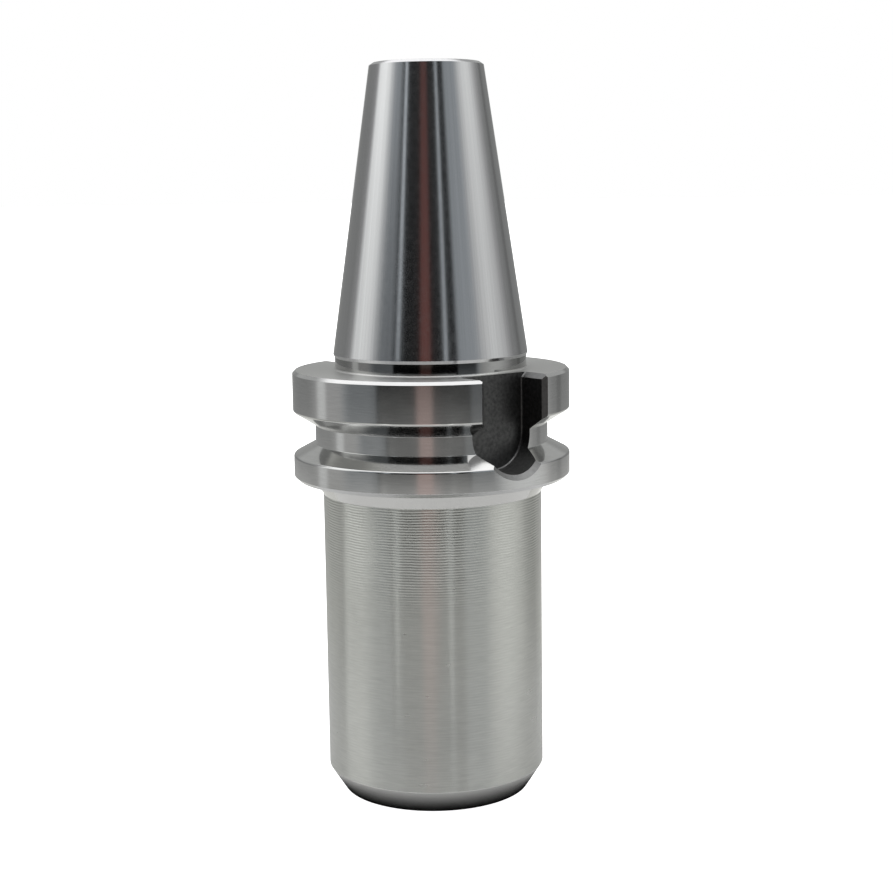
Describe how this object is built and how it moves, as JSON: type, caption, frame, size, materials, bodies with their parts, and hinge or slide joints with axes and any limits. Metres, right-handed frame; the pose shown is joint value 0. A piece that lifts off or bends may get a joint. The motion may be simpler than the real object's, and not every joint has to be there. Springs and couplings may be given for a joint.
{
  "type": "side lock end mill holder",
  "caption": "Steel tool holder with a 7/24 taper shank, a V-grooved flange with drive key slots, and a straight nose whose bore is locked from the side by socket set screws.",
  "frame": {"origin": "centre of the nose face, on the holder's axis", "axes": "+Z along the axis from the nose face to the small end of the taper; the drive key slots face +X and -X, and the lock screws face -X"},
  "size_m": [0.063, 0.063, 0.1654],
  "materials": {
    "ground_steel": "taper ground bright with fine streaks along it, flange and nose fine turned, key slots blackened",
    "black_oxide_steel": "black oxide, satin"
  },
  "bodies": {
    "root": {"holder_body": "ground_steel", "lock_screw_front": "black_oxide_steel", "lock_screw_rear": "black_oxide_steel"}
  },
  "joints": []
}
